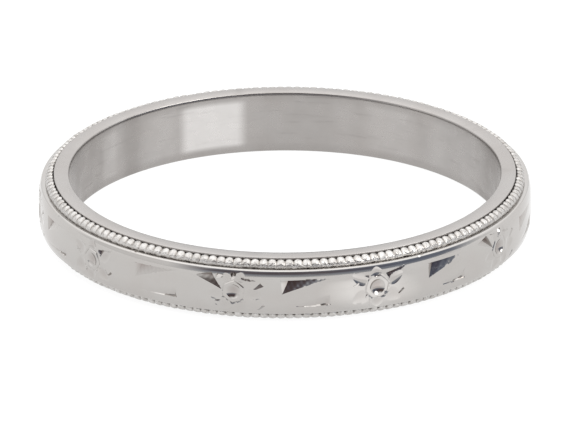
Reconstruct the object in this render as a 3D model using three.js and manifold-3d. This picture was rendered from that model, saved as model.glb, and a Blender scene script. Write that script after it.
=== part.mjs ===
// Engraved wedding band: a plain inner sleeve, an engraved belt around it, and a beaded (milgrain)
// wire in each corner between the two. Millimetres, +Z up along the bore, origin on the bore's axis
// at the lower rim. The ring lies flat, and -Y is its front.
import * as THREE from "three";
import { mergeVertices } from "three/addons/utils/BufferGeometryUtils.js";
import Module from "manifold-3d";

// ---- Driving dimensions, in millimetres ----

const BORE_RADIUS = 8.45; // finger hole, a US size 6.5
const BAND_WIDTH = 2.5; // from rim to rim, along the bore
const SLEEVE_WALL = 0.61;
const BELT_WALL = 0.58; // at the crown of the belt
const BEAD_REACH = 0.19; // half the length of an oval milgrain bead, from the rim to the belt
const BEAD_RISE = 0.11; // half its thickness
const BEAD_NECK = 0.7; // size of the wire between two beads, as a share of a bead
const BEAD_PITCH = 0.334; // from bead to bead, around the wire
const FIT_GAP = 0.02; // solder gap between neighbouring pieces
const RIM_SETBACK = 0.03; // of the beads under the flat rim

const COMFORT_BREADTH = 0.06; // of the rounded edge between the bore and a rim, across the rim
const COMFORT_HEIGHT = 0.17; // of the same rounded edge, along the bore
const RIM_CHAMFER = 0.03; // at the sleeve's outer edge
const BELT_DOME = 0.08; // rise of the belt's face from its edge to its crown
const DOME_POWER = 4; // above 2, the face is nearly flat and falls away close to its edges
const BELT_ROUND = 0.08; // rounding of the belt's two outer edges
const LIP_RISE = 0.02; // of the belt beside a wire, over the shoulder that the wire lies on

// ---- Engraving, in millimetres and turns ----

const MOTIF_COUNT = 10; // a blossom and a leaf in each
const FIRST_BLOSSOM = THREE.MathUtils.degToRad(-13.45); // from the front, to the right
const BLOSSOM_REACH = 1.1; // half the length that a blossom takes of the belt
const LEAF_MARGIN = 0.75; // plain metal between a blossom and a leaf
const EDGE_MARGIN = 0.14; // plain metal between a leaf cut and the belt's side
const LEAF_HEAD = 0.54; // width of a leaf cut at its head
const LEAF_SLANT = 0.1; // lean of the head of a leaf cut
const LEAF_DEPTH = 0.14; // of a leaf cut at its head
const LEAF_SINK = 0.02; // of a leaf cut's point under the surface
const HEART_RADIUS = 0.33; // mouth of the round hollow at the heart of a blossom
const PUNCH_RADIUS = 0.46; // ball that the hollow is punched with
const SETTING_RADIUS = 0.52; // outer corners of the six-sided groove around the heart
const SETTING_WIDTH = 0.07;
const SETTING_DEPTH = 0.06;
const NICK_LENGTH = 0.42; // of the wedge cut between two petals
const NICK_WIDTH = 0.26;
const NICK_DEPTH = 0.12;
const NICK_ANGLES = [35, 145, 215, 325].map(THREE.MathUtils.degToRad);
const NICK_START = 0.04; // from the groove to the point of a nick

// ---- Fineness of the facets ----

const RING_SEGMENTS = 120;
const WIRE_SIDES = 6;
const STEPS_PER_BEAD = 2;
const ROUND_STEPS = 3;
const DOME_STEPS = 8;
const SETTING_SIDES = 6;
const PUNCH_SEGMENTS = 16;
const PUNCH_RINGS = 14;

// ---- Sizes that follow from them ----

const sleeveRadius = BORE_RADIUS + SLEEVE_WALL;
const beadExtent = Math.sqrt((BEAD_REACH ** 2 + BEAD_RISE ** 2) / 2); // of a bead leaning 45 degrees
const wireRadius = sleeveRadius + FIT_GAP + beadExtent;
const wireDepth = RIM_SETBACK + beadExtent; // from a rim to the wire's centre
const beadCount = Math.round((2 * Math.PI * wireRadius) / BEAD_PITCH);
const beltBore = sleeveRadius + FIT_GAP;
const crownRadius = beltBore + BELT_WALL;
const shoulder = wireDepth + beadExtent + FIT_GAP; // from a rim to the shoulder under a wire
const lipRadius = wireRadius + beadExtent + FIT_GAP;
const beltEdge = shoulder - LIP_RISE; // from a rim to the belt's side
const beltHeight = BAND_WIDTH - 2 * beltEdge;
const faceHeight = beltHeight - 2 * BELT_ROUND;
const midHeight = BAND_WIDTH / 2;
const leafLength = (2 * Math.PI * crownRadius) / MOTIF_COUNT - 2 * (BLOSSOM_REACH + LEAF_MARGIN);

const wasm = await Module();
wasm.setup();

// ---- Helpers ----

/** A closed profile of [radius, height] points, turned about +Z. */
function turned(profile, segments) {
  const points = [...profile, profile[0]].map(([r, z]) => new THREE.Vector2(r, z));
  return new THREE.LatheGeometry(points, segments).rotateX(Math.PI / 2);
}

/** Points of an arc about (r, z), from one angle to another, in the profile plane. */
function arc(r, z, radius, from, to, steps) {
  return Array.from({ length: steps + 1 }, (_, i) => {
    const a = from + ((to - from) * i) / steps;
    return [r + radius * Math.cos(a), z + radius * Math.sin(a)];
  });
}

/** The radius of the belt's face at a height above or below the middle of the band. */
function faceRadius(height) {
  return crownRadius - BELT_DOME * Math.abs((2 * height) / faceHeight) ** DOME_POWER;
}

/** A geometry as a solid that can be cut and joined. */
function solidOf(geometry) {
  const bare = geometry.clone();
  bare.deleteAttribute("normal");
  bare.deleteAttribute("uv");
  const merged = mergeVertices(bare);
  return new wasm.Manifold(
    new wasm.Mesh({
      numProp: 3,
      vertProperties: merged.getAttribute("position").array,
      triVerts: new Uint32Array(merged.index.array),
    }),
  );
}

/** A solid back as a geometry. */
function geometryOf(solid) {
  const mesh = solid.getMesh();
  const geometry = new THREE.BufferGeometry();
  geometry.setAttribute("position", new THREE.BufferAttribute(mesh.vertProperties, 3));
  geometry.setIndex(new THREE.BufferAttribute(mesh.triVerts, 1));
  geometry.computeVertexNormals();
  return geometry;
}

/**
 * A shape drawn on the belt, laid on the ring. It is drawn with +X along the belt to the right,
 * +Y up the belt and +Z outwards, from the middle of the band and the bore's axis.
 */
function onBelt(geometry, azimuth) {
  return geometry.rotateX(Math.PI / 2).rotateZ(azimuth).translate(0, 0, midHeight);
}

function metal(color, roughness) {
  return new THREE.MeshStandardMaterial({ color, roughness, metalness: 1 });
}

function piece(name, geometry, material) {
  const mesh = new THREE.Mesh(geometry, material);
  mesh.name = name;
  return mesh;
}

// ---- Inner sleeve: the tube next to the finger, whose two ends are the flat rims ----

function innerSleeve() {
  const top = BAND_WIDTH;
  const comfort = arc(COMFORT_BREADTH, COMFORT_HEIGHT, 1, Math.PI, 1.5 * Math.PI, ROUND_STEPS).map(
    ([r, z]) => [
      BORE_RADIUS + COMFORT_BREADTH + (r - COMFORT_BREADTH) * COMFORT_BREADTH,
      COMFORT_HEIGHT + (z - COMFORT_HEIGHT) * COMFORT_HEIGHT,
    ],
  );
  const profile = [
    ...comfort,
    [sleeveRadius - RIM_CHAMFER, 0],
    [sleeveRadius, RIM_CHAMFER],
    [sleeveRadius, top - RIM_CHAMFER],
    [sleeveRadius - RIM_CHAMFER, top],
    ...comfort.map(([r, z]) => [r, top - z]).reverse(),
  ];
  return piece("inner_sleeve", turned(profile, RING_SEGMENTS), metal(0xc9c6c1, 0.22));
}

// ---- Engraved belt: a domed band around the sleeve, with leaves and blossoms cut into it ----

/** The belt before it is engraved. */
function beltBlank() {
  const bottom = midHeight - beltHeight / 2;
  const top = midHeight + beltHeight / 2;
  const round = faceRadius(faceHeight / 2) - BELT_ROUND; // where the roundings have their centres
  const face = Array.from({ length: DOME_STEPS - 1 }, (_, i) => {
    const height = faceHeight * ((i + 1) / DOME_STEPS - 0.5);
    return [faceRadius(height), midHeight + height];
  });
  const profile = [
    [beltBore, shoulder],
    [lipRadius, shoulder],
    [lipRadius, bottom],
    ...arc(round, bottom + BELT_ROUND, BELT_ROUND, -0.5 * Math.PI, 0, ROUND_STEPS),
    ...face,
    ...arc(round, top - BELT_ROUND, BELT_ROUND, 0, 0.5 * Math.PI, ROUND_STEPS),
    [lipRadius, top],
    [lipRadius, BAND_WIDTH - shoulder],
    [beltBore, BAND_WIDTH - shoulder],
  ];
  return turned(profile, RING_SEGMENTS);
}

/**
 * The cutter of one leaf cut: a flat floor that starts at a point on the surface and gets wider
 * and deeper up to a steep head. It runs along the belt's upper edge, its head on the left.
 */
function leafCutter() {
  const half = leafLength / 2;
  const upper = beltHeight / 2 - EDGE_MARGIN;
  const outline = new THREE.Shape();
  outline.moveTo(-half, upper);
  outline.lineTo(-half + LEAF_SLANT, upper - LEAF_HEAD);
  outline.lineTo(half, upper);
  outline.closePath();
  const cutter = new THREE.ExtrudeGeometry(outline, { depth: BELT_WALL, bevelEnabled: false });
  const tilt = Math.atan(LEAF_DEPTH / leafLength);
  const sag = crownRadius - Math.sqrt(crownRadius ** 2 - half ** 2);
  const floor = faceRadius(upper) - sag - LEAF_SINK;
  return cutter.translate(-half, 0, 0).rotateY(-tilt).translate(half, 0, floor);
}

/** The two cuts of one leaf: the lower one is the upper one turned half round. */
function leafCutters(azimuth) {
  return [leafCutter(), leafCutter().rotateZ(Math.PI)].map((cutter) => onBelt(cutter, azimuth));
}

/** The ball of the punch that makes a blossom's round heart. */
function punch(azimuth) {
  const ball = new THREE.SphereGeometry(PUNCH_RADIUS, PUNCH_SEGMENTS, PUNCH_RINGS);
  const lift = crownRadius + Math.sqrt(PUNCH_RADIUS ** 2 - HEART_RADIUS ** 2);
  return onBelt(ball.rotateX(Math.PI / 2).translate(0, 0, lift), azimuth);
}

/** The six-sided groove around a blossom's heart. */
function settingCutter(azimuth) {
  const corners = (radius) =>
    Array.from({ length: SETTING_SIDES }, (_, i) => {
      const angle = ((i + 0.5) * 2 * Math.PI) / SETTING_SIDES;
      return new THREE.Vector2(radius * Math.cos(angle), radius * Math.sin(angle));
    });
  const outline = new THREE.Shape(corners(SETTING_RADIUS));
  outline.holes.push(new THREE.Path(corners(SETTING_RADIUS - SETTING_WIDTH)));
  const ring = new THREE.ExtrudeGeometry(outline, { depth: BELT_WALL, bevelEnabled: false });
  return onBelt(ring.translate(0, 0, crownRadius - SETTING_DEPTH), azimuth);
}

/** A wedge cut between two petals: its point is next to the groove, and it widens outwards. */
function nickCutter(angle, azimuth) {
  const start = SETTING_RADIUS + NICK_START;
  const outline = new THREE.Shape();
  outline.moveTo(start, 0);
  outline.lineTo(start + NICK_LENGTH, -NICK_WIDTH / 2);
  outline.lineTo(start + NICK_LENGTH, NICK_WIDTH / 2);
  outline.closePath();
  const wedge = new THREE.ExtrudeGeometry(outline, { depth: BELT_WALL, bevelEnabled: false });
  return onBelt(wedge.rotateZ(angle).translate(0, 0, crownRadius - NICK_DEPTH), azimuth);
}

function engravedBelt() {
  let belt = solidOf(beltBlank());
  const pitch = (2 * Math.PI) / MOTIF_COUNT;
  for (let i = 0; i < MOTIF_COUNT; i++) {
    const blossom = FIRST_BLOSSOM + i * pitch;
    const cutters = [
      ...leafCutters(blossom + pitch / 2),
      punch(blossom),
      settingCutter(blossom),
      ...NICK_ANGLES.map((angle) => nickCutter(angle, blossom)),
    ];
    for (const cutter of cutters) belt = belt.subtract(solidOf(cutter));
  }
  return piece("engraved_belt", geometryOf(belt), metal(0xd2cfc9, 0.18));
}

// ---- Milgrain wires: a row of beads in each corner between the sleeve's end and the belt ----

/**
 * A beaded wire. Its oval section leans across the corner, so that its long side faces outwards
 * and away from the belt: up on the upper wire (away = 1), down on the lower one (away = -1).
 */
function milgrainWire(name, height, away) {
  const steps = beadCount * STEPS_PER_BEAD;
  const ring = new THREE.TorusGeometry(wireRadius, 1, WIRE_SIDES, steps);
  const position = ring.getAttribute("position");
  for (let i = 0; i < position.count; i++) {
    const step = i % (steps + 1);
    const turn = (2 * Math.PI * step) / steps;
    const size = step % STEPS_PER_BEAD === 0 ? 1 : BEAD_NECK;
    const out = Math.hypot(position.getX(i), position.getY(i)) - wireRadius;
    const up = position.getZ(i) * away;
    const long = (size * BEAD_REACH * (out - up)) / 2;
    const thick = (size * BEAD_RISE * (out + up)) / 2;
    const radius = wireRadius + long + thick;
    position.setXYZ(i, radius * Math.cos(turn), radius * Math.sin(turn), (thick - long) * away);
  }
  ring.computeVertexNormals();
  const wire = piece(name, ring, metal(0xdcd9d4, 0.2));
  wire.position.z = height;
  return wire;
}

const band = new THREE.Group();
band.name = "wedding_band";
band.add(
  innerSleeve(),
  engravedBelt(),
  milgrainWire("upper_milgrain_wire", BAND_WIDTH - wireDepth, 1),
  milgrainWire("lower_milgrain_wire", wireDepth, -1),
);

export default band;
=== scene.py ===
"""Engraved wedding band: the fine pieces, their metal finishes, and the studio they stand in."""
import logging
import math
import random
from dataclasses import dataclass, replace
from enum import Enum

import bmesh
import bpy
import numpy as np
from mathutils import Euler, Matrix, Vector


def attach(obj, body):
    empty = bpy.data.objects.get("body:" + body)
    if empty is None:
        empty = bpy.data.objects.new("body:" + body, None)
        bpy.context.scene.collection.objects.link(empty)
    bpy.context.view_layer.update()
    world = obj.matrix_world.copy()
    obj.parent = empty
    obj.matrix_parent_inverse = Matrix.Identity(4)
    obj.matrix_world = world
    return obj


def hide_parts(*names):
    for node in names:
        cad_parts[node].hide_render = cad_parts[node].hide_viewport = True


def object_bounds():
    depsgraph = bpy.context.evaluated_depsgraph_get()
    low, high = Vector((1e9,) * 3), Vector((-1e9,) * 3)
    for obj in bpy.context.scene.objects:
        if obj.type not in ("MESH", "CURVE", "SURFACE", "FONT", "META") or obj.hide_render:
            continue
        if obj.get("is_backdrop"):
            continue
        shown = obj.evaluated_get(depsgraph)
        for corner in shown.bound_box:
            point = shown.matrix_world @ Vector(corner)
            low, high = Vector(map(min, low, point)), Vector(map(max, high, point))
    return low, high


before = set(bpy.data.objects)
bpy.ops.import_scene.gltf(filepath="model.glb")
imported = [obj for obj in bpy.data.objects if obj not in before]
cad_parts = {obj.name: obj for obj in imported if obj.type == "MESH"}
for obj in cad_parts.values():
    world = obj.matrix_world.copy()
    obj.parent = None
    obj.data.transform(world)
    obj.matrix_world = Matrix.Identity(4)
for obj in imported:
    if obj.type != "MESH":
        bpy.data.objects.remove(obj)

log = logging.getLogger("wedding_band")

MM = 0.001  # metres in a millimetre
FULL_TURN = 2 * math.pi
UPWARD = (0.0, 0.0, 1.0)
ROOT_BODY = "root"  # the only body: nothing on the ring moves
PATINA_AND_SHADE = "hollow"  # mesh attribute: patina in the belt's cuts, painted shade in the beads' necks, painted dark reflections on the bore, and darker bands on the sleeve
PAINTED_REFLECTION = "painted_reflection"  # mesh attribute: painted reflections, where the bore is painted lighter

Pair = tuple[float, float]
Triple = tuple[float, float, float]
Array = np.ndarray
BMesh = bmesh.types.BMesh
Colour = Triple
Socket = bpy.types.NodeSocket


class Slot(Enum):
    """The record's material slots."""

    SLEEVE = "polished_sleeve"
    BELT = "bright_cut_belt"
    BEADS = "beaded_wire"


class Node(Enum):
    """The frame's nodes, each replaced here by a finer piece."""

    SLEEVE = "inner_sleeve"
    BELT = "engraved_belt"
    UPPER_WIRE = "upper_milgrain_wire"
    LOWER_WIRE = "lower_milgrain_wire"


# ---- Places and sizes, read from the frame


@dataclass(frozen=True)
class RingGauge:
    """The radii and heights of one ring-shaped node, measured on the frame.

    Attributes:
        inner: Smallest radius.
        outer: Largest radius.
        low: Lowest height.
        high: Highest height.
    """

    inner: float
    outer: float
    low: float
    high: float

    @classmethod
    def of(cls, node: Node) -> "RingGauge":
        """Measures a node, in metres."""
        points = [v.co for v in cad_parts[node.value].data.vertices]
        radii = [p.xy.length for p in points]
        heights = [p.z for p in points]
        return cls(min(radii), max(radii), min(heights), max(heights))

    @property
    def middle(self) -> float:
        """The height half way up the node."""
        return (self.low + self.high) / 2


# ---- Finishes


MIX_COLOUR_INPUTS = (6, 7)  # a Mix node's colours share their names with its other inputs
MIX_COLOUR_OUTPUT = 2
CLOUD_SCALE = 1500.0  # patches of handling haze to a metre
MOTTLE_SPAN = (0.38, 0.66)  # of the noise, over which the tone turns warm
CLOUD_SPAN = (0.35, 0.7)  # of the noise, over which the gloss turns to haze
HAIR_SPAN = (0.62, 0.72)  # of the noise, over which a scratch deepens
HAIR_DULLNESS = 0.12  # roughness that a scratch adds
HAIR_SETS = (  # the stretch and the turn of two sets of scratches that cross
    ((300.0, 900.0, 9000.0), (0.5, 0.15, 0.5)), ((700.0, 260.0, 7000.0), (-0.9, -0.27, -0.9)))
COARSE, MIDDLING, FINE = 2.0, 3.0, 4.0  # octaves of noise


class NodeDesk:
    """A small helper that lays out the shader nodes of one material."""

    def __init__(self, tree: bpy.types.NodeTree) -> None:
        """Empties the tree that it will fill."""
        tree.nodes.clear()
        self.tree = tree

    def add(self, kind: str, **values: object) -> bpy.types.Node:
        """Adds a node.

        Args:
            kind: The node's type name.
            **values: Its properties by name, or its inputs by name with "_" for a space.

        Returns:
            The new node.
        """
        node = self.tree.nodes.new(kind)
        for key, value in values.items():
            socket = node.inputs.get(key.replace("_", " "))
            if socket is not None:
                socket.default_value = value
            else:
                setattr(node, key, value)
        return node

    def link(self, source: Socket, target: Socket) -> None:
        """Joins an output to an input."""
        self.tree.links.new(source, target)

    def ramp(self, source: Socket, stops: list[tuple[float, Colour]]) -> Socket:
        """Adds a colour ramp with the given places and colours, and gives its colour."""
        node = self.add("ShaderNodeValToRGB")
        band = node.color_ramp
        while len(band.elements) < len(stops):
            band.elements.new(1.0)
        for element, (place, colour) in zip(band.elements, stops):
            element.position = place
            element.color = (*colour, 1.0)
        self.link(source, node.inputs["Fac"])
        return node.outputs["Color"]

    def remap(self, source: Socket, span: Pair, low: float = 0.0, high: float = 1.0) -> Socket:
        """Adds a clamped Map Range node: the span's start becomes low, and its end high."""
        node = self.add("ShaderNodeMapRange", From_Min=span[0], From_Max=span[1], To_Min=low, To_Max=high)
        self.link(source, node.inputs["Value"])
        return node.outputs["Result"]

    def vector(self, operation: str, source: Socket, other: Triple) -> Socket:
        """Adds a Vector Math node that compares a vector with a fixed one, and gives its number."""
        node = self.add("ShaderNodeVectorMath", operation=operation)
        self.link(source, node.inputs[0])
        node.inputs[1].default_value = other
        return node.outputs["Value"]

    def noise(self, place: Socket, scale: Triple, detail: float, roughness: float = 0.55,
              turn: Triple = (0.0, 0.0, 0.0)) -> Socket:
        """Adds noise, about 0 to 1, with so many features to a metre each way, turned in radians."""
        mapping = self.add("ShaderNodeMapping", Scale=scale, Rotation=turn)
        self.link(place, mapping.inputs["Vector"])
        noise = self.add("ShaderNodeTexNoise", Scale=1.0, Detail=detail, Roughness=roughness)
        self.link(mapping.outputs["Vector"], noise.inputs["Vector"])
        return noise.outputs["Fac"]

    def show(self, surface: Socket, kind: str = "ShaderNodeOutputMaterial") -> None:
        """Ends the tree in an output node."""
        self.link(surface, self.add(kind).inputs["Surface"])

    def math(self, operation: str, first: Socket, second: Socket | float) -> Socket:
        """Adds a Math node, whose second value is a socket or a number, and gives its result."""
        node = self.add("ShaderNodeMath", operation=operation)
        self.link(first, node.inputs[0])
        if isinstance(second, float):
            node.inputs[1].default_value = second
        else:
            self.link(second, node.inputs[1])
        return node.outputs["Value"]

    def mix(self, factor: Socket, first: Socket | Colour, second: Socket | Colour) -> Socket:
        """Mixes two colours, each a socket or a value. The factor says how much of the second shows."""
        node = self.add("ShaderNodeMix", data_type="RGBA")
        self.link(factor, node.inputs["Factor"])
        for place, value in zip(MIX_COLOUR_INPUTS, (first, second)):
            if isinstance(value, tuple):
                node.inputs[place].default_value = (*value, 1.0)
            else:
                self.link(value, node.inputs[place])
        return node.outputs[MIX_COLOUR_OUTPUT]


@dataclass(frozen=True)
class WhiteGold:
    """A worn white-gold finish: mottled tone, hairline scratches, handling haze, patina, painted shade and
    painted reflections.

    Attributes:
        tone: The clean metal's colour.
        warm: The colour of its warmer patches.
        patina_and_shade: The colour of patina in the hollows, and of painted shade and painted dark
            reflections.
        gloss: Roughness where the metal is best polished.
        haze: Roughness where handling has dulled it.
        scratch_depth: Height of the hairline scratches, in metres.
        ripple_depth: Height of the hand-polished ripple, in metres.
        painted_reflection: The colour of the painted reflections where they are brightest, or None.
        lathe_grain: How strongly polishing marks run round the ring, 0 to 1.
        ripple_scale: How many ripples the metal has to a metre.
    """

    tone: Colour
    warm: Colour
    patina_and_shade: Colour
    gloss: float
    haze: float
    scratch_depth: float
    ripple_depth: float
    painted_reflection: Colour | None = None
    lathe_grain: float = 0.0
    ripple_scale: float = 420.0

    def build(self, name: str) -> bpy.types.Material:
        """Makes the material, under a name."""
        material = bpy.data.materials.new(name)
        material.use_nodes = True
        desk = NodeDesk(material.node_tree)
        place = desk.add("ShaderNodeTexCoord").outputs["Object"]
        mottle = desk.noise(place, (self.ripple_scale,) * 3, MIDDLING)
        cloud = desk.noise(place, (CLOUD_SCALE,) * 3, FINE)
        hairs = desk.math("MAXIMUM", *(desk.remap(desk.noise(place, scale, COARSE, 0.5, turn), HAIR_SPAN)
                                       for scale, turn in HAIR_SETS))
        colour = desk.mix(desk.remap(mottle, MOTTLE_SPAN), self.tone, self.warm)
        # Painted reflection: the colour turns lighter where the bore is painted to show the studio
        # reflected in it.
        if self.painted_reflection:
            reflection_mask = desk.add("ShaderNodeAttribute", attribute_name=PAINTED_REFLECTION)
            colour = desk.mix(reflection_mask.outputs["Fac"], colour, self.painted_reflection)
        # Darkens towards the patina colour: real patina in the belt's cuts, painted shade in the beads'
        # necks, painted dark reflections on the bore, and darker bands on the sleeve.
        hollow = desk.add("ShaderNodeAttribute", attribute_name=PATINA_AND_SHADE)
        colour = desk.mix(hollow.outputs["Fac"], colour, self.patina_and_shade)
        rough = desk.remap(cloud, CLOUD_SPAN, self.gloss, self.haze)
        rough = desk.math("ADD", rough, desk.math("MULTIPLY", hairs, HAIR_DULLNESS))
        shader = desk.add("ShaderNodeBsdfPrincipled", Metallic=1.0, Anisotropic=self.lathe_grain)
        if self.lathe_grain:
            around = desk.add("ShaderNodeTangent", direction_type="RADIAL", axis="Z")
            desk.link(around.outputs["Tangent"], shader.inputs["Tangent"])
        desk.link(colour, shader.inputs["Base Color"])
        desk.link(rough, shader.inputs["Roughness"])
        desk.link(self._relief(desk, mottle, hairs), shader.inputs["Normal"])
        desk.show(shader.outputs["BSDF"])
        return material

    def _relief(self, desk: NodeDesk, mottle: Socket, hairs: Socket) -> Socket:
        """Turns the ripple of a hand-polished surface and its scratches into a bumped normal."""
        ripple = desk.add("ShaderNodeBump", Strength=1.0, Distance=self.ripple_depth)
        desk.link(mottle, ripple.inputs["Height"])
        scratch = desk.add("ShaderNodeBump", Strength=1.0, Distance=self.scratch_depth, invert=True)
        desk.link(hairs, scratch.inputs["Height"])
        desk.link(ripple.outputs["Normal"], scratch.inputs["Normal"])
        return scratch.outputs["Normal"]


SLEEVE_FINISH = WhiteGold(
    tone=(0.412, 0.394, 0.382),
    warm=(0.392, 0.370, 0.356),
    # The colour of the bore's painted dark reflections and of the sleeve's darker bands.
    patina_and_shade=(0.10, 0.085, 0.075),
    gloss=0.24,
    haze=0.36,
    scratch_depth=0.0008 * MM,
    ripple_depth=0.006 * MM,
    # The colour of the bore's painted reflections, where they are brightest.
    painted_reflection=(0.68, 0.66, 0.645),
    lathe_grain=0.8,
)
BELT_FINISH = WhiteGold(
    tone=(0.482, 0.466, 0.450),
    warm=(0.466, 0.444, 0.426),
    patina_and_shade=(0.30, 0.26, 0.245),
    gloss=0.05,
    haze=0.12,
    scratch_depth=0.0006 * MM,
    ripple_depth=0.005 * MM,
)
BEAD_FINISH = WhiteGold(
    tone=(0.60, 0.585, 0.57),
    warm=(0.46, 0.44, 0.42),
    # The colour of the painted shade in the necks between beads.
    patina_and_shade=(0.19, 0.165, 0.145),
    gloss=0.2,
    haze=0.32,
    scratch_depth=0.0005 * MM,
    ripple_depth=0.06 * MM,
    ripple_scale=6500.0,
)


# ---- Graver cuts: each is a hollow bounded by facets, in millimetres along and up the belt


CHATTER_WAVES = ((0.031, 0.11), (0.053, -0.07))  # lengths of its ripples, along and across
CHATTER_DEPTH = 0.03  # depth past which chatter is full
ANGLE_SWAY = 150.0  # degrees by which a repeated stroke turns, for each millimetre of sway
LENGTH_SWAY = 3.0  # share by which its length changes, and its slope
WIDTH_SWAY = 4.0
STROKE_GROWTH = 1.2  # most that a stroke's floor widens past its head, as a share
BALL_SHARE = 0.98  # of the punch's radius, past which a bowl stays level
GROOVE_SOFTNESS = 0.25  # share of a round groove in the six-sided one
GROOVE_CORNER = 0.94  # size of the round groove beside the six-sided one
PETAL_TAPER = 0.35  # share by which a petal narrows from its middle to its tip
PETAL_LEAST = 0.05  # smallest half width past the tip
PETAL_CAP = 4.0  # keeps a petal's surface low far outside it


class Cut:
    """One hollow left by the graver. Its surface is the highest of its facets, where below 0."""

    def facets(self, u: Array, v: Array) -> list[Array]:
        """Each facet's heights over the belt, at places u along it and v up it, in millimetres."""
        raise NotImplementedError

    def floor(self, u: Array, v: Array) -> Array:
        """The height of the hollow's surface, above 0 outside the hollow."""
        return np.maximum.reduce(self.facets(u, v))

    def ridge(self, u: Array, v: Array) -> Array:
        """The height between the hollow's two highest facets: 0 along the creases in it."""
        facets = self.facets(u, v)
        if len(facets) == 1:
            return np.full(u.shape, np.inf)
        heights = np.sort(np.stack(facets), axis=0)
        return heights[-1] - heights[-2]


@dataclass(frozen=True)
class Stroke(Cut):
    """A flat-graver stroke: a floor that widens and deepens from a point to a head.

    Its deep side is a straight edge from the head to the point. Its shallow side is a curve.

    Attributes:
        place: The end of the straight edge at the head, along and up the belt.
        angle: Direction from the head to the point, in degrees.
        length: Length of the straight edge.
        width: Width of the stroke at its head.
        slope: Steepness of the floor.
        taper: How fast the stroke narrows, 1 for a straight taper.
        lean: Lean of the head, along the stroke for each unit across it.
        head_wall: Steepness of the head.
        wall: Steepness of the wall along the straight edge.
        flipped: True where the shallow side lies on the left of the way to the point.
        fade: How fast the floor flattens towards the point, 0 for a flat floor.
        chatter: Height of the ripples that the graver leaves in the floor.
    """

    place: Pair
    angle: float
    length: float
    width: float
    slope: float = 0.4
    taper: float = 1.6
    lean: float = 0.0
    head_wall: float = 1.4
    wall: float = 2.0
    flipped: bool = False
    fade: float = 0.0
    chatter: float = 0.0

    def facets(self, u: Array, v: Array) -> list[Array]:
        """See Cut.facets."""
        turn = math.radians(self.angle)
        du = u - self.place[0]
        dv = v - self.place[1]
        along = du * math.cos(turn) + dv * math.sin(turn)
        across = dv * math.cos(turn) - du * math.sin(turn)
        if self.flipped:
            across = -across
        share = np.clip(1.0 - along / self.length, 0.0, STROKE_GROWTH)
        floor = -self.slope * share**self.fade * (across + self.width * share**self.taper)
        ripple = sum(np.sin(along / a + across / b) for a, b in CHATTER_WAVES)
        floor += self.chatter * ripple * np.clip(-floor / CHATTER_DEPTH, 0.0, 1.0)
        return [floor, self.wall * across, -self.head_wall * (along - self.lean * across)]

    def turned(self, chance: random.Random, sway: float) -> "Stroke":
        """The same stroke as a hand would repeat it, with differences of sway millimetres."""
        def vary(most: float) -> float:
            """A draw between two limits on either side of 0."""
            return chance.uniform(-most, most)

        place = (self.place[0] + vary(sway), self.place[1] + vary(sway))
        return replace(self, place=place, angle=self.angle + vary(ANGLE_SWAY) * sway,
                       length=self.length * (1 + vary(LENGTH_SWAY) * sway),
                       width=self.width * (1 + vary(WIDTH_SWAY) * sway),
                       slope=self.slope * (1 + vary(LENGTH_SWAY) * sway))


@dataclass(frozen=True)
class Cup(Cut):
    """The round hollow at a blossom's heart, made with a ball-ended punch.

    Attributes:
        radius: Radius of its mouth.
        ball: Radius of the punch.
        place: Its middle, along and up the belt.
    """

    radius: float
    ball: float
    place: Pair = (0.0, 0.0)

    def facets(self, u: Array, v: Array) -> list[Array]:
        """See Cut.facets."""
        distance = np.hypot(u - self.place[0], v - self.place[1])
        near = np.minimum(distance, BALL_SHARE * self.ball)
        bowl = math.sqrt(self.ball**2 - self.radius**2) - np.sqrt(self.ball**2 - near**2)
        return [bowl]


@dataclass(frozen=True)
class Setting(Cut):
    """The six-sided groove around a blossom's heart.

    Attributes:
        inner: Distance from the heart to the groove, across the flats.
        breadth: The groove's width.
        turn: How far it is turned, in radians.
        inner_wall: Steepness of the side next to the heart.
        outer_wall: Steepness of the side next to the petals.
    """

    inner: float
    breadth: float
    turn: float
    inner_wall: float = 0.7
    outer_wall: float = 0.42

    def facets(self, u: Array, v: Array) -> list[Array]:
        """See Cut.facets."""
        sides = [self.turn + side * math.pi / 3 for side in range(6)]
        flats = np.maximum.reduce([u * math.cos(a) + v * math.sin(a) for a in sides])
        reach = (1 - GROOVE_SOFTNESS) * flats + GROOVE_SOFTNESS * np.hypot(u, v) * GROOVE_CORNER
        outward = reach - self.inner
        return [-self.inner_wall * outward, self.outer_wall * (outward - self.breadth)]


@dataclass(frozen=True)
class Petal(Cut):
    """A shallow oval dish scraped into the belt.

    Attributes:
        distance: Distance of its middle from the heart.
        angle: Its direction from the heart, in degrees.
        reach: Half its length, away from the heart.
        half_width: Half its width.
        depth: Depth at its middle.
    """

    distance: float
    angle: float
    reach: float
    half_width: float
    depth: float

    def facets(self, u: Array, v: Array) -> list[Array]:
        """See Cut.facets."""
        turn = math.radians(self.angle)
        along = u * math.cos(turn) + v * math.sin(turn) - self.distance
        across = v * math.cos(turn) - u * math.sin(turn)
        taper = self.half_width * (1 - PETAL_TAPER * along / self.reach)
        share = (along / self.reach) ** 2 + (across / np.maximum(taper, PETAL_LEAST)) ** 2
        return [self.depth * (np.minimum(share, PETAL_CAP) - 1.0)]


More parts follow.
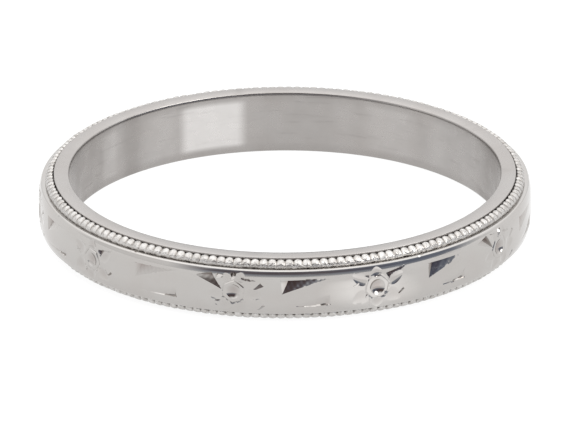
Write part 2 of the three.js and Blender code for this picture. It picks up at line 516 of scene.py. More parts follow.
POINTED_BLOSSOM = (
    Stroke((-0.88, 0.74), -60.0, 0.82, 0.52, slope=0.45, taper=1.1, lean=0.3, head_wall=0.9,
           chatter=0.0008),
    Stroke((-0.64, 0.72), -12.0, 0.56, 0.24, slope=0.5, taper=1.1),
    Stroke((-0.10, 0.76), 0.0, 0.24, 0.30, slope=0.6, taper=0.3),
    Stroke((0.30, 0.60), -8.0, 0.74, 0.12, slope=0.5, taper=0.9),
    Stroke((1.08, 0.42), -133.0, 0.56, 0.19, slope=0.45, taper=1.1, flipped=True),
    Stroke((0.17, -0.37), -11.0, 0.46, 0.15, slope=0.34, taper=1.0),
    Stroke((1.16, -0.50), -136.0, 0.46, 0.10, slope=0.6, taper=0.8, flipped=True),
    Stroke((-0.44, -0.34), 186.0, 0.40, 0.09, taper=0.8, flipped=True),
    Stroke((-0.40, -0.62), 176.0, 0.50, 0.08, taper=0.8, flipped=True),
    Stroke((0.12, -0.72), 4.0, 0.42, 0.08, taper=0.8),
)
ROUND_BLOSSOM = (
    Stroke((0.38, 0.52), 14.0, 0.95, 0.40, slope=0.42, taper=1.1, lean=-0.2, head_wall=1.0, fade=0.4),
    Stroke((-0.34, 0.52), 178.0, 0.50, 0.13, taper=1.0, flipped=True),
    Stroke((-0.78, 0.26), -146.0, 0.32, 0.10, slope=0.7, taper=0.8, flipped=True),
    Stroke((-0.44, -0.26), -112.0, 0.30, 0.10, slope=0.7, taper=0.8, flipped=True),
    Stroke((0.08, -0.42), -88.0, 0.42, 0.09, slope=0.6, taper=0.7),
    Stroke((-0.36, -0.42), -84.0, 0.42, 0.09, slope=0.5, taper=0.7, flipped=True),
    Stroke((0.30, -0.22), -14.0, 0.60, 0.26, slope=0.26, taper=1.0),
    Stroke((1.12, -0.18), -134.0, 0.50, 0.11, slope=0.8, taper=0.7, flipped=True),
    Stroke((0.10, 0.76), -60.0, 0.28, 0.13),
)


@dataclass(frozen=True)
class Pattern:
    """One of the engraver's two ways to cut a blossom.

    Attributes:
        strokes: The strokes that set its petals off.
        depth: Depth of the petals at their middles.
        petals: Each petal's direction in degrees, distance from the heart and half length.
    """

    strokes: tuple[Stroke, ...]
    depth: float
    petals: tuple[Triple, ...]


POINTED = Pattern(POINTED_BLOSSOM, 0.028, (
    (121.0, 0.60, 0.22), (62.0, 0.64, 0.24), (196.0, 0.76, 0.30), (240.0, 0.66, 0.26),
    (300.0, 0.68, 0.28), (352.0, 0.82, 0.34)))
ROUND = Pattern(ROUND_BLOSSOM, 0.05, (
    (90.0, 0.62, 0.20), (156.0, 0.82, 0.36), (206.0, 0.80, 0.36), (268.0, 0.62, 0.22),
    (330.0, 0.80, 0.36), (22.0, 0.82, 0.36)))


@dataclass
class Blossom:
    """An orange blossom: a punched heart, its groove, six scraped petals, and strokes between them.

    Attributes:
        chance: Where the engraver's small irregularities come from.
        pattern: The way that it is cut.
        heart: Radius of the heart.
        ball: Radius of the punch that made the heart.
        setting: Distance from the heart's middle to the groove.
        sway: How far a stroke strays, in millimetres.
        petal_swing: How far a petal turns from its direction, in degrees.
        petal_widths: Range of the petals' half widths.
        petal_depths: Range of their depths, as shares of the pattern's.
        sizes: Range of the sizes of the heart and its groove, as shares of the full size.
        grooves: Range of the groove's width.
        punches: Range of the punch's size, as a share.
        drifts: Ranges of the places of the heart, along and up the belt.
    """

    chance: random.Random
    pattern: Pattern
    heart: float = 0.33
    ball: float = 0.46
    setting: float = 0.43
    sway: float = 0.02
    petal_swing: float = 6.0
    petal_widths: Pair = (0.22, 0.28)
    petal_depths: Pair = (0.88, 1.16)
    sizes: Pair = (0.86, 1.0)
    grooves: Pair = (0.08, 0.1)
    punches: Pair = (0.95, 1.05)
    drifts: tuple[Pair, ...] = ((0.0, 0.03), (-0.02, 0.02))

    def cuts(self) -> list[Cut]:
        """Every cut of the blossom, in its own millimetres."""
        vary = self.chance.uniform
        look = self.pattern
        made: list[Cut] = [stroke.turned(self.chance, self.sway) for stroke in look.strokes]
        for angle, distance, reach in look.petals:
            made.append(Petal(distance, angle + vary(-self.petal_swing, self.petal_swing), reach,
                              vary(*self.petal_widths), look.depth * vary(*self.petal_depths)))
        size = vary(*self.sizes)
        made.append(Setting(self.setting * size, vary(*self.grooves), vary(0.0, 1.0)))
        punch = self.ball * vary(*self.punches)
        made.append(Cup(self.heart * size, punch, tuple(vary(*drift) for drift in self.drifts)))
        return made


@dataclass
class Leaf:
    """A leaf between two blossoms: two strokes that are each other turned half round.

    Attributes:
        chance: Where the engraver's small irregularities come from.
        upper: The upper stroke.
        lower_width: Width of the lower stroke, as a share of the upper one's.
        lower_slope: Its steepness, as a share of the upper one's.
        sway: How far a stroke strays, in millimetres.
    """

    chance: random.Random
    upper: Stroke = Stroke((-0.97, 0.53), 0.0, 2.35, 0.60, taper=1.5, lean=-0.06,
                           head_wall=0.55, wall=2.4, fade=0.9, chatter=0.0024)
    lower_width: float = 0.75
    lower_slope: float = 0.5
    sway: float = 0.015

    def cuts(self) -> list[Cut]:
        """Both strokes of the leaf, in its own millimetres."""
        upper = self.upper
        lower = replace(upper, place=(-upper.place[0], -upper.place[1]), angle=180.0 + upper.angle,
                        width=self.lower_width * upper.width, slope=self.lower_slope * upper.slope)
        return [stroke.turned(self.chance, self.sway) for stroke in (upper, lower)]


# ---- Pieces

TOUCH = 1e-8  # metres within which a vertex lies on a plane
WELD = 1e-7  # metres within which two vertices become one
FACE_SHARE = 0.9  # of the belt's height, past which an edge of its section is its face
PROBE = 1e-4  # millimetres between the two places that a crease's slope is taken from
TINY = 1e-9  # millimetres within which two cuts are equally deep
LEAST_STEEP = 1e-12  # keeps a level surface's slope from being 0


def clamp(value: float) -> float:
    """The value, held between 0 and 1."""
    return min(max(value, 0.0), 1.0)


def finish_piece(name: str, bm: BMesh, material: bpy.types.Material, slot: Slot,
                 node: Node) -> bpy.types.Object:
    """Turns a finished bmesh into a piece of the ring.

    Args:
        name: The piece's name.
        bm: Its shape, which is freed.
        material: Its finish.
        slot: The record's slot for that finish. Not used.
        node: The frame's node that it stands for.

    Returns:
        The new object, at the origin.
    """
    mesh = bpy.data.meshes.new(name)
    bm.to_mesh(mesh)
    bm.free()
    mesh.materials.append(material)
    piece = bpy.data.objects.new(name, mesh)
    bpy.context.scene.collection.objects.link(piece)
    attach(piece, ROOT_BODY)
    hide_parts(node.value)
    log.info("%s: %d faces", name, len(mesh.polygons))
    return piece


def section(bm: BMesh, low: Pair, high: Pair) -> list:
    """Starts a ring's rectangular section at +X, from its least to its greatest radius and height."""
    made = bmesh.ops.create_grid(bm, x_segments=1, y_segments=1, size=0.5)["verts"]
    size = Matrix.Diagonal((high[0] - low[0], high[1] - low[1], 1.0, 1.0))
    stand = Euler((math.pi / 2, 0.0, 0.0)).to_matrix().to_4x4()
    middle = Matrix.Translation(((low[0] + high[0]) / 2, 0.0, (low[1] + high[1]) / 2))
    bmesh.ops.transform(bm, matrix=middle @ stand @ size, verts=made)
    return made


def round_corners(bm: BMesh, corners: list, radius: float, segments: int) -> None:
    """Rounds corners of a flat section."""
    bmesh.ops.bevel(bm, geom=corners, offset=radius, offset_type="OFFSET", affect="VERTICES",
                    segments=segments, profile=0.5, material=-1)


def score(bm: BMesh, place: Triple, way: Triple) -> None:
    """Divides a flat section along a plane, given by a point and its normal."""
    bmesh.ops.bisect_plane(bm, geom=bm.verts[:] + bm.edges[:] + bm.faces[:], dist=TOUCH, plane_co=place,
                           plane_no=way)


def spin_section(bm: BMesh, steps: int, sectors: int) -> None:
    """Spins the outline of a flat section round the bore's axis into a closed ring.

    One sector is spun finely, and then copied round, which is much quicker than one long spin.

    Args:
        bm: Holds one flat section.
        steps: Number of steps round the whole ring, a multiple of sectors.
        sectors: Number of equal sectors.
    """
    sector = FULL_TURN / sectors
    bmesh.ops.delete(bm, geom=bm.faces[:], context="FACES_ONLY")
    bmesh.ops.spin(bm, geom=bm.verts[:] + bm.edges[:], cent=(0, 0, 0), axis=(0, 0, 1), dvec=(0, 0, 0),
                   angle=sector, steps=steps // sectors, use_merge=False, use_duplicate=False)
    bmesh.ops.spin(bm, geom=bm.verts[:] + bm.edges[:] + bm.faces[:], cent=(0, 0, 0), axis=(0, 0, 1),
                   dvec=(0, 0, 0), angle=FULL_TURN - sector, steps=sectors - 1, use_merge=False,
                   use_duplicate=True)
    bmesh.ops.remove_doubles(bm, verts=bm.verts[:], dist=WELD)
    bmesh.ops.recalc_face_normals(bm, faces=bm.faces[:])
    for face in bm.faces:
        face.smooth = True


@dataclass(frozen=True)
class Patch:
    """A stretch of the bore painted brighter or darker than the rest: a painted reflection.

    Attributes:
        azimuth: Its middle, in degrees to the right of the back.
        half_width: Half its width, in degrees.
        blur: Width of its soft border, in degrees.
        strength: How strong it is, 0 to 1.
    """

    azimuth: float
    half_width: float
    blur: float
    strength: float

    def at(self, azimuth: float) -> float:
        """Its strength at an azimuth."""
        away = abs((azimuth - self.azimuth + 180.0) % 360.0 - 180.0) - self.half_width
        share = clamp(0.5 - away / self.blur)
        return self.strength * share * share * (3 - 2 * share)


# Painted reflections on the bore: bright stretches, painted lighter where the studio is reflected.
PAINTED_BRIGHT_REFLECTIONS = (
    Patch(-20.0, 8.5, 3.5, 0.95), Patch(-35.0, 5.0, 6.0, 0.15), Patch(-55.0, 3.0, 2.5, 0.22),
    Patch(30.0, 7.0, 7.0, 0.16), Patch(46.0, 2.5, 4.0, 0.10), Patch(105.0, 9.0, 5.0, 0.5),
    Patch(160.0, 12.0, 8.0, 0.3), Patch(-140.0, 8.0, 5.0, 0.6), Patch(-100.0, 4.0, 4.0, 0.2),
)
# Painted reflections on the bore: dark stretches, painted darker where darker parts of the studio are
# reflected.
PAINTED_DARK_REFLECTIONS = (
    Patch(-68.0, 11.0, 12.0, 0.16), Patch(-46.0, 3.0, 4.0, 0.20), Patch(3.0, 10.0, 8.0, 0.07),
    Patch(76.0, 9.0, 14.0, 0.30), Patch(-78.0, 5.0, 8.0, 0.12), Patch(135.0, 8.0, 9.0, 0.2),
)


@dataclass
class InnerSleeve:
    """The plain tube next to the finger. Its ends are the flat polished rims.

    Attributes:
        gauge: Its place in the frame.
        comfort: Breadth of the rounding between the bore and a rim, across the rim.
        comfort_height: Its height, along the bore.
        comfort_steps: Facets in it.
        edge_round: Radius of the rounding at the rim's outer edge.
        edge_steps: Facets in it.
        clean: Height of the outer wall, next to a rim, that is not darkened.
        darkening_blend: Share of that height over which the darkening sets in.
        wall_darkening: How much darker the rest of the wall is, 0 to 1.
        border: Height of the band of the bore, next to a rim, that is a little darker and has no painted
            reflections.
        border_blend: Share of that height at which the band starts to brighten.
        border_darkening: How much darker the band is, 0 to 1.
        steps: Steps round the ring.
        sectors: Sectors that it is spun in.
    """

    gauge: RingGauge
    comfort: float = 0.06 * MM
    comfort_height: float = 0.17 * MM
    comfort_steps: int = 5
    edge_round: float = 0.03 * MM
    edge_steps: int = 3
    clean: float = 0.07 * MM
    darkening_blend: float = 0.3
    wall_darkening: float = 0.28
    border: float = 0.42 * MM
    border_blend: float = 0.6
    border_darkening: float = 0.08
    steps: int = 360
    sectors: int = 12

    def build(self, material: bpy.types.Material) -> bpy.types.Object:
        """Makes the sleeve in a finish."""
        bm = bmesh.new()
        corners = section(bm, (self.gauge.inner, self.gauge.low), (self.gauge.outer, self.gauge.high))
        middle = (self.gauge.inner + self.gauge.outer) / 2
        round_corners(bm, [v for v in corners if v.co.x > middle], self.edge_round, self.edge_steps)
        inner = [v for v in bm.verts if v.co.x < middle]
        round_corners(bm, inner, self.comfort_height, self.comfort_steps)
        for vert in bm.verts:
            inward = vert.co.x - self.gauge.inner
            if inward < self.comfort_height + 0.5 * self.edge_round:
                vert.co.x = self.gauge.inner + inward * self.comfort / self.comfort_height
        for inset in (self.clean, (1 + self.darkening_blend) * self.clean, self.border_blend * self.border,
                      self.border):
            for height in (self.gauge.low + inset, self.gauge.high - inset):
                score(bm, (0.0, 0.0, height), UPWARD)
        bmesh.ops.dissolve_edges(bm, edges=[e for e in bm.edges if len(e.link_faces) > 1], use_verts=False)
        spin_section(bm, self.steps, self.sectors)
        self._weather(bm)
        piece = finish_piece("sleeve_tube", bm, material, Slot.SLEEVE, Node.SLEEVE)
        piece.modifiers.new("even_normals", "WEIGHTED_NORMAL").keep_sharp = True
        return piece

    def _weather(self, bm: BMesh) -> None:
        """Marks the bore's painted reflections, bright and dark, and its darker bands next to the rims,
        and darkens the outer wall in the corner beside a wire.
        """
        painted_reflection = bm.verts.layers.float.new(PAINTED_REFLECTION)
        hollow = bm.verts.layers.float.new(PATINA_AND_SHADE)
        for vert in bm.verts:
            radius = vert.co.xy.length
            inset = min(vert.co.z - self.gauge.low, self.gauge.high - vert.co.z)
            if radius > self.gauge.outer - 0.1 * self.edge_round:
                # The outer wall is darker away from the rim, into the corner beside a wire.
                vert[hollow] = self.wall_darkening * clamp((inset - self.clean) / (self.darkening_blend * self.clean))
            elif radius < self.gauge.inner + self.comfort:
                azimuth = math.degrees(math.atan2(vert.co.x, vert.co.y))
                inside = clamp(2.0 * (inset / self.border - 0.5))
                # Painted reflections: the bright stretches of the bore.
                vert[painted_reflection] = clamp(sum(patch.at(azimuth) for patch in PAINTED_BRIGHT_REFLECTIONS)) * inside
                # Painted dark reflections on the bore, and a darker band next to each rim.
                dark_reflection = sum(patch.at(azimuth) for patch in PAINTED_DARK_REFLECTIONS)
                vert[hollow] = clamp(dark_reflection + self.border_darkening * (1 - inside))


@dataclass
class MilgrainWire:
    """A row of rolled beads in the corner between a rim and the belt.

    Attributes:
        node: The frame's node that it stands for.
        gauge: Its place in the frame.
        beads: Number of beads.
        away: 1 where the wire lies above the belt, -1 where it lies below.
        reach: Half the length of an oval bead, from the rim to the belt.
        rise: Half its thickness.
        neck: Size of the wire between two beads, as a share of a bead.
        bow: How far each neck bows out of the beads' line, downwards across the corner.
        sizes: Range of the beads' sizes, as shares of the full size.
        lift: How far a bead stands out of the row or sinks into it.
        crest: Above 1, a bead is blunter around its crest.
        flank: Below 1, it rises more steeply from the necks.
        shade: Share of the painted shade in a neck at its middle height. Its upper side has more and its
            lower less.
        shade_power: Above 1, the painted shade gathers in the necks.
        steps: Steps round each bead.
        sides: Sides of the wire.
        sectors: Sectors that it is spun in.
        seed: Starts the draws for its beads' irregularities.
    """

    node: Node
    gauge: RingGauge
    seed: int
    away: int
    beads: int = 174
    reach: float = 0.208 * MM
    rise: float = 0.115 * MM
    neck: float = 0.76
    bow: float = 0.055 * MM
    sizes: Pair = (0.93, 1.03)
    lift: float = 0.006 * MM
    crest: float = 1.8
    flank: float = 0.6
    shade: float = 0.4
    shade_power: float = 1.5
    steps: int = 8
    sides: int = 8
    sectors: int = 58

    def build(self, name: str, material: bpy.types.Material) -> bpy.types.Object:
        """Makes the wire under a piece's name, in a finish."""
        centre = (self.gauge.inner + self.gauge.outer) / 2
        bm = bmesh.new()
        bmesh.ops.create_circle(bm, cap_ends=True, segments=self.sides, radius=1.0)
        oval = Matrix.Diagonal((self.reach, self.rise, 1.0, 1.0))
        lean = Euler((math.pi / 2, self.away * math.pi / 4, 0.0)).to_matrix().to_4x4()
        move = Matrix.Translation((centre, 0.0, self.gauge.middle))
        bmesh.ops.transform(bm, matrix=move @ lean @ oval, verts=bm.verts[:])
        spin_section(bm, self.beads * self.steps, self.sectors)
        self._bead(bm, centre)
        return finish_piece(name, bm, material, Slot.BEADS, self.node)

    def _bead(self, bm: BMesh, centre: float) -> None:
        """Narrows the plain wire between its beads, and leaves each bead a little irregular."""
        chance = random.Random(self.seed)
        sizes = [chance.uniform(*self.sizes) for _ in range(self.beads)]
        lifts = [chance.uniform(-self.lift, self.lift) for _ in range(self.beads)]
        pitch = FULL_TURN / self.beads
        hollow = bm.verts.layers.float.new(PATINA_AND_SHADE)
        for vert in bm.verts:
            turn = math.atan2(vert.co.y, vert.co.x) % FULL_TURN
            index = int(turn / pitch + 0.5) % self.beads
            off = (turn / pitch + 0.5) % 1.0 - 0.5
            swell = max(1.0 - (2.0 * abs(off)) ** self.crest, 0.0) ** self.flank
            size = self.neck + (sizes[index] - self.neck) * swell
            axis = Vector((centre * math.cos(turn), centre * math.sin(turn), self.gauge.middle))
            bow = (1.0 - swell) * self.bow * math.sqrt(0.5)
            outward = bow * self.away + lifts[index] * (1 - 4 * off * off)
            shift = Vector((math.cos(turn) * outward, math.sin(turn) * outward, -bow))
            # Painted shade in the necks between beads: heaviest in the neck's middle and on its upper
            # side, none on its lower side.
            upper_side = clamp(self.shade + (vert.co.z - axis.z) / self.reach)
            vert.co = axis + (vert.co - axis) * size + shift
            vert[hollow] = (1.0 - swell) ** self.shade_power * upper_side


@dataclass
class EngravedBelt:
    """The raised belt around the sleeve, with its leaves and blossoms cut by hand.

    Attributes:
        gauge: Its place in the frame.
        wire: The place of the upper wire, which the belt's shoulder and lip leave free.
        fit_gap: Gap between the belt and a wire.
        motifs: Number of blossoms, each followed by a leaf.
        first_blossom: Place of the first blossom from the front, to the right, in degrees.
        wander: How far each blossom strays from even spacing, in degrees.
        edge_round: Radius of the rounding at the belt's outer edges.
        dome: Rise of its face from the edges to the crown.
        dome_power: Above 2, the face is nearly flat and falls away close to its edges.
        round_steps: Facets in each rounding.
        rows: Rows of faces up its face.
        steps: Steps round the ring.
        sectors: Sectors that it is spun in.
        crisp_angle: Angle between faces past which an edge stays crisp, in degrees.
        dark_depth: Depth of a cut at which its patina is fullest.
        dark_power: Above 1, the patina gathers in the deepest cuts.
        seed: Starts the engraver's irregularities.
    """

    gauge: RingGauge
    wire: RingGauge
    fit_gap: float = 0.02 * MM
    motifs: int = 10
    first_blossom: float = -13.45
    wander: tuple[float, ...] = (1.4, -0.9, 1.1, -0.6, 0.4, -1.2, 0.8, -0.3, 0.9, -1.6)
    edge_round: float = 0.08 * MM
    dome: float = 0.08 * MM
    dome_power: float = 4.0
    round_steps: int = 3
    rows: int = 46
    steps: int = 1640
    sectors: int = 40
    crisp_angle: float = 14.0
    dark_depth: float = 0.16 * MM
    dark_power: float = 1.5
    seed: int = 11

    def build(self, material: bpy.types.Material) -> bpy.types.Object:
        """Makes the belt in a finish, and engraves it."""
        bm = self._blank()
        piece = finish_piece("belt_engraving", bm, material, Slot.BELT, Node.BELT)
        self._engrave(piece.data)
        self._split_quads(piece.data)
        piece.data.set_sharp_from_angle(angle=math.radians(self.crisp_angle))
        return piece

    @property
    def _face_height(self) -> float:
        """Height of the face between the two roundings."""
        return self.gauge.high - self.gauge.low - 2 * self.edge_round

    def _blank(self) -> BMesh:
        """The belt before it is engraved: a fine mesh on its face and a coarse one behind."""
        bm = bmesh.new()
        edge = self.gauge.outer - self.dome
        section(bm, (self.gauge.inner, self.gauge.low), (edge, self.gauge.high))
        self._cut_shoulders(bm)
        outer = [v for v in bm.verts if v.co.x > edge - self.edge_round]
        round_corners(bm, outer, self.edge_round, self.round_steps)
        face = [e for e in bm.edges if e.calc_length() > FACE_SHARE * self._face_height
                and e.verts[0].co.x > (self.gauge.inner + edge) / 2]
        bmesh.ops.subdivide_edges(bm, edges=face, cuts=self.rows - 1)
        spin_section(bm, self.steps, self.sectors)
        return bm

    def _rise(self, up: Array) -> Array:
        """Rise of the domed face over its edges, at heights from its middle."""
        return self.dome * (1 - np.clip(2 * np.abs(up) / self._face_height, 0.0, 1.0) ** self.dome_power)

    def _turn(self, azimuth: Array, place: float) -> Array:
        """Turns from a place, within half a turn each way."""
        return (azimuth - place + math.pi) % FULL_TURN - math.pi

    def _cut_shoulders(self, bm: BMesh) -> None:
        """Notches the section's inner corners, so that a lip stands beside each wire."""
        lip = self.wire.outer + self.fit_gap
        top = self.wire.low - self.fit_gap
        bottom = self.gauge.high + self.gauge.low - top
        score(bm, (lip, 0.0, 0.0), (1.0, 0.0, 0.0))
        score(bm, (0.0, 0.0, top), UPWARD)
        score(bm, (0.0, 0.0, bottom), UPWARD)
        middles = [(f, f.calc_center_median()) for f in bm.faces]
        notches = [f for f, middle in middles if middle.x < lip and not bottom < middle.z < top]
        bmesh.ops.delete(bm, geom=notches, context="FACES")
        bmesh.ops.dissolve_faces(bm, faces=bm.faces[:], use_verts=True)

    def _engrave(self, mesh: bpy.types.Mesh) -> None:
        """Moves the vertices of the blank belt's face onto the facets of every cut."""
        azimuth, up, radius = self._unroll(mesh)
        face = radius > self.gauge.outer - self.dome - self.edge_round
        cell = FULL_TURN * self.gauge.outer / self.steps / MM
        for place, cuts in self._motifs():
            turn = self._turn(azimuth, place)
            near = np.flatnonzero(face & (np.abs(turn) < math.pi / self.motifs))
            u, v = self._snap(turn[near] * self.gauge.outer / MM, up[near] / MM, cuts, cell)
            azimuth[near] = place + u * MM / self.gauge.outer
            up[near] = v * MM
        depth = self._depth(azimuth, up)
        radius = radius + np.where(face, self._rise(up) + depth, 0.0)
        points = np.stack([radius * np.sin(azimuth), -radius * np.cos(azimuth), up + self.gauge.middle],
                          axis=1)
        mesh.vertices.foreach_set("co", points.ravel())
        shade = mesh.attributes.new(PATINA_AND_SHADE, "FLOAT", "POINT")
        dark = np.clip(-depth / self.dark_depth, 0.0, 1.0) ** self.dark_power
        shade.data.foreach_set("value", np.where(face, dark, 0.0))
        mesh.update()

    def _unroll(self, mesh: bpy.types.Mesh) -> tuple[Array, Array, Array]:
        """Azimuths from the front, heights from the middle, and radii of a mesh's vertices."""
        flat = np.empty(len(mesh.vertices) * 3, np.float64)
        mesh.vertices.foreach_get("co", flat)
        points = flat.reshape(-1, 3)
        azimuth = np.arctan2(points[:, 0], -points[:, 1])
        return azimuth, points[:, 2] - self.gauge.middle, np.hypot(points[:, 0], points[:, 1])

    def _depth(self, azimuth: Array, up: Array) -> Array:
        """How far the cuts sink the belt's face at azimuths and heights, in metres, 0 or less."""
        depth = np.zeros(len(azimuth))
        for place, cuts in self._motifs():
            turn = self._turn(azimuth, place)
            near = np.flatnonzero(np.abs(turn) < math.pi / self.motifs)
            u = turn[near] * self.gauge.outer / MM
            v = up[near] / MM
            height = np.minimum.reduce([cut.floor(u, v) for cut in cuts])
            depth[near] = np.minimum(depth[near], height * MM)
        return depth

    def _split_quads(self, mesh: bpy.types.Mesh) -> None:
        """Splits each quad of the face along the diagonal that lies closer to the cuts' surface."""
        azimuth, up, radius = self._unroll(mesh)
        corners = np.empty(len(mesh.polygons) * 4, np.int64)
        mesh.polygons.foreach_get("vertices", corners)
        corners = corners.reshape(-1, 4)
        errors = []
        for first, second in ((0, 2), (1, 3)):
            one, two = corners[:, first], corners[:, second]
            middle = azimuth[one] + self._turn(azimuth[two], azimuth[one]) / 2
            height = (up[one] + up[two]) / 2
            wanted = self.gauge.outer - self.dome + self._rise(height) + self._depth(middle, height)
            errors.append(np.abs((radius[one] + radius[two]) / 2 - wanted))
        along_second = errors[1] < errors[0]
        bm = bmesh.new()
        bm.from_mesh(mesh)
        faces = bm.faces[:]
        for method, chosen in (("FIXED", ~along_second), ("ALTERNATE", along_second)):
            bmesh.ops.triangulate(bm, faces=[faces[i] for i in np.flatnonzero(chosen)], quad_method=method)
        bm.to_mesh(mesh)
        bm.free()

    def _motifs(self) -> list[tuple[float, list[Cut]]]:
        """The places of every blossom and leaf, in radians, with their cuts."""
        chance = random.Random(self.seed)
        pitch = 360.0 / self.motifs
        places = [self.first_blossom + i * pitch + self.wander[i] for i in range(self.motifs)]
        made: list[tuple[float, list[Cut]]] = []
        for index, place in enumerate(places):
            following = places[(index + 1) % self.motifs] + (360.0 if index + 1 == self.motifs else 0.0)
            pattern = ROUND if index % 2 else POINTED
            made.append((math.radians(place), Blossom(chance, pattern).cuts()))
            made.append((math.radians((place + following) / 2), Leaf(chance).cuts()))
        return made

    @staticmethod
    def _snap(u: Array, v: Array, cuts: list[Cut], cell: float) -> tuple[Array, Array]:
        """Slides vertices along the surface onto the nearest crease, so that cuts have clean edges.

        Args:
            u: Places along the belt, in millimetres.
            v: Places up the belt, in millimetres.
            cuts: The cuts whose creases count.
            cell: The mesh's spacing, in millimetres.

        Returns:
            The new u and v.
        """
        reach = 0.5 * cell
        best = np.full(len(u), reach)
        shift_u = np.zeros(len(u))
        shift_v = np.zeros(len(u))
        lowest = np.minimum.reduce([cut.floor(u, v) for cut in cuts])
        for cut in cuts:
            own = cut.floor(u, v)
            deepest = (own < 0) & (own <= lowest + TINY)
            for crease, active in ((cut.floor, lowest > own - reach), (cut.ridge, deepest)):
                value = crease(u, v)
                if np.isinf(value).any():
                    continue
                slope_u = (crease(u + PROBE, v) - value) / PROBE
                slope_v = (crease(u, v + PROBE) - value) / PROBE
                steep = slope_u**2 + slope_v**2 + LEAST_STEEP
                away = np.abs(value) / np.sqrt(steep)
                take = active & (away < best)
                best = np.where(take, away, best)
                shift_u = np.where(take, -value * slope_u / steep, shift_u)
                shift_v = np.where(take, -value * slope_v / steep, shift_v)
        return u + shift_u, v + shift_v


# ---- Studio


def grey(value: float) -> Colour:
    """A grey of that brightness."""
    return (value, value, value)


PAPER_STOPS = [(0.3, grey(0.11)), (0.7, grey(0.13))]  # of its grain
# The tent's colours by height, from 0 straight below to 1 straight above.
TENT_STOPS = [(0.0, grey(1.0)), (0.50, grey(1.0)), (0.60, grey(1.1)), (0.69, grey(1.26)),
              (0.88, grey(1.8)), (1.0, grey(1.8))]
OPENING_STOPS = [
    (0.495, grey(0.9)), (0.526, (0.52, 0.54, 0.57)), (0.57, (0.36, 0.38, 0.43)),
    (0.612, (0.17, 0.15, 0.17)), (0.671, (0.13, 0.10, 0.10)), (0.735, (0.12, 0.09, 0.09)),
    (0.787, (0.30, 0.28, 0.27)), (0.835, grey(1.0)), (0.883, grey(1.8)), (1.0, grey(1.8))]


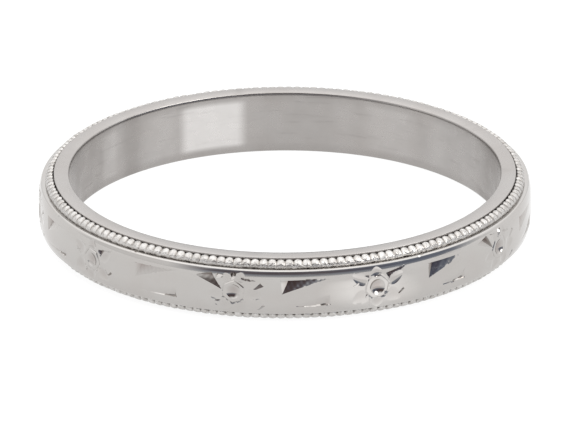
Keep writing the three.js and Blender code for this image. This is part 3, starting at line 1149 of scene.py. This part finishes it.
@dataclass
class Studio:
    """A pale floor under a soft light tent, and the camera.

    Attributes:
        elevation: The camera's height above the horizon, in degrees.
        roll: The camera's roll, in degrees.
        distance: Its distance from the ring, in metres.
        breadth: Breadth that the picture shows at the ring's middle.
        drop: How far below the ring's middle the camera looks, across its line of sight.
        floor_half: Half the width of the floor.
        floor_glow: Light that the backlit floor gives off.
        hot_glow: Light that it gives off at its hot spot, over the tube.
        hot_place: Middle of the hot spot.
        hot_reach: Radius of the hot spot.
        hot_core: Share of that radius over which it is brightest.
        dark_way: Level direction of the tent's dark opening.
        dark_span: Cosines of the angles from it over which the tent darkens.
        blue: Colour of the opening's right side.
        blue_span: Shares of the way to the right over which it turns blue.
        blue_most: How blue it becomes, 0 to 1.
        lamp_way: Direction of the soft lamp on the right.
        lamp_span: Cosines of the angles from it over which the lamp brightens.
        lamp_colour: Its light.
    """

    elevation: float = 21.87
    roll: float = -0.164
    distance: float = 0.55
    breadth: float = 22.3617 * MM
    drop: float = 0.522 * MM
    floor_half: float = 0.6
    floor_glow: float = 0.9
    hot_glow: float = 1.27
    hot_place: Triple = (5.3 * MM, -11.6 * MM, 0.0)
    hot_reach: float = 3.4 * MM
    hot_core: float = 0.4
    dark_way: Triple = (0.391, -0.921, 0.0)
    dark_span: Pair = (0.2, 0.52)
    blue: Colour = (0.12, 0.16, 0.25)
    blue_span: Pair = (0.3, 0.85)
    blue_most: float = 0.55
    lamp_way: Triple = (0.696, -0.370, 0.616)
    lamp_span: Pair = (0.955, 0.975)
    lamp_colour: Colour = (5.0, 5.0, 4.9)

    def build(self) -> None:
        """Makes the floor, the light and the camera."""
        self._floor()
        self._tent()
        self._camera()
        view = bpy.context.scene.view_settings
        view.view_transform = "Standard"
        view.look = "None"
        view.exposure = 0.0
        view.gamma = 1.0

    def _floor(self) -> None:
        """A plain pale sheet."""
        bm = bmesh.new()
        bmesh.ops.create_grid(bm, x_segments=4, y_segments=4, size=self.floor_half)
        mesh = bpy.data.meshes.new("floor_sheet")
        bm.to_mesh(mesh)
        bm.free()
        material = bpy.data.materials.new("pale_paper")
        material.use_nodes = True
        desk = NodeDesk(material.node_tree)
        place = desk.add("ShaderNodeTexCoord").outputs["Object"]
        grain = desk.add("ShaderNodeTexNoise", Scale=300.0, Detail=3.0)
        desk.link(place, grain.inputs["Vector"])
        colour = desk.ramp(grain.outputs["Fac"], PAPER_STOPS)
        shader = desk.add("ShaderNodeBsdfPrincipled", Roughness=0.9, Emission_Color=(*grey(1.0), 1.0))
        away = desk.vector("DISTANCE", place, self.hot_place)
        glow = desk.remap(away, (self.hot_core * self.hot_reach, self.hot_reach), self.hot_glow,
                          self.floor_glow)
        desk.link(glow, shader.inputs["Emission Strength"])
        desk.link(colour, shader.inputs["Base Color"])
        desk.show(shader.outputs["BSDF"])
        mesh.materials.append(material)
        floor = bpy.data.objects.new("floor_sheet", mesh)
        bpy.context.scene.collection.objects.link(floor)
        floor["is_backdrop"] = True

    def _tent(self) -> None:
        """The light tent: bright above and behind, darker around the lens opening in front."""
        world = bpy.data.worlds.new("light_tent")
        bpy.context.scene.world = world
        world.use_nodes = True
        desk = NodeDesk(world.node_tree)
        direction = desk.add("ShaderNodeTexCoord").outputs["Generated"]
        split = desk.add("ShaderNodeSeparateXYZ")
        desk.link(direction, split.inputs["Vector"])
        height = desk.remap(split.outputs["Z"], (-1.0, 1.0))
        bluish = desk.remap(split.outputs["X"], self.blue_span, 0.0, self.blue_most)
        dark = desk.mix(bluish, desk.ramp(height, OPENING_STOPS), self.blue)
        front = desk.remap(desk.vector("DOT_PRODUCT", direction, self.dark_way), self.dark_span)
        tent = desk.mix(front, desk.ramp(height, TENT_STOPS), dark)
        lamp = desk.remap(desk.vector("DOT_PRODUCT", direction, self.lamp_way), self.lamp_span)
        background = desk.add("ShaderNodeBackground", Strength=1.0)
        desk.link(desk.mix(lamp, tent, self.lamp_colour), background.inputs["Color"])
        desk.show(background.outputs["Background"], "ShaderNodeOutputWorld")

    def _camera(self) -> None:
        """The camera, looking along +Y and down."""
        low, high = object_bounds()
        middle = (low + high) / 2
        tilt = math.radians(self.elevation)
        back = Vector((0.0, -math.cos(tilt), math.sin(tilt)))
        upward = Vector((0.0, math.sin(tilt), math.cos(tilt)))
        data = bpy.data.cameras.new("camera")
        data.sensor_width = 36.0
        data.lens = data.sensor_width * self.distance / self.breadth
        data.clip_start = 0.01
        data.clip_end = 10.0
        camera = bpy.data.objects.new("camera", data)
        camera.rotation_mode = "QUATERNION"
        aim = (-back).to_track_quat("-Z", "Y")
        camera.rotation_quaternion = aim @ Euler((0.0, 0.0, math.radians(self.roll))).to_quaternion()
        camera.location = middle - upward * self.drop + back * self.distance
        bpy.context.scene.collection.objects.link(camera)
        bpy.context.scene.camera = camera


def main() -> None:
    """Builds the ring and its studio."""
    logging.basicConfig(level=logging.INFO, format="%(name)s: %(message)s")
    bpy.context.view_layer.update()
    Studio().build()
    sleeve_metal = SLEEVE_FINISH.build("polished_white_gold")
    belt_metal = BELT_FINISH.build("bright_cut_white_gold")
    bead_metal = BEAD_FINISH.build("burnished_white_gold")
    InnerSleeve(RingGauge.of(Node.SLEEVE)).build(sleeve_metal)
    upper_wire = RingGauge.of(Node.UPPER_WIRE)
    lower_wire = RingGauge.of(Node.LOWER_WIRE)
    EngravedBelt(RingGauge.of(Node.BELT), upper_wire).build(belt_metal)
    MilgrainWire(Node.UPPER_WIRE, upper_wire, seed=3, away=1).build("upper_beads", bead_metal)
    MilgrainWire(Node.LOWER_WIRE, lower_wire, seed=5, away=-1, neck=0.5).build("lower_beads", bead_metal)


if __name__ == "__main__":
    main()
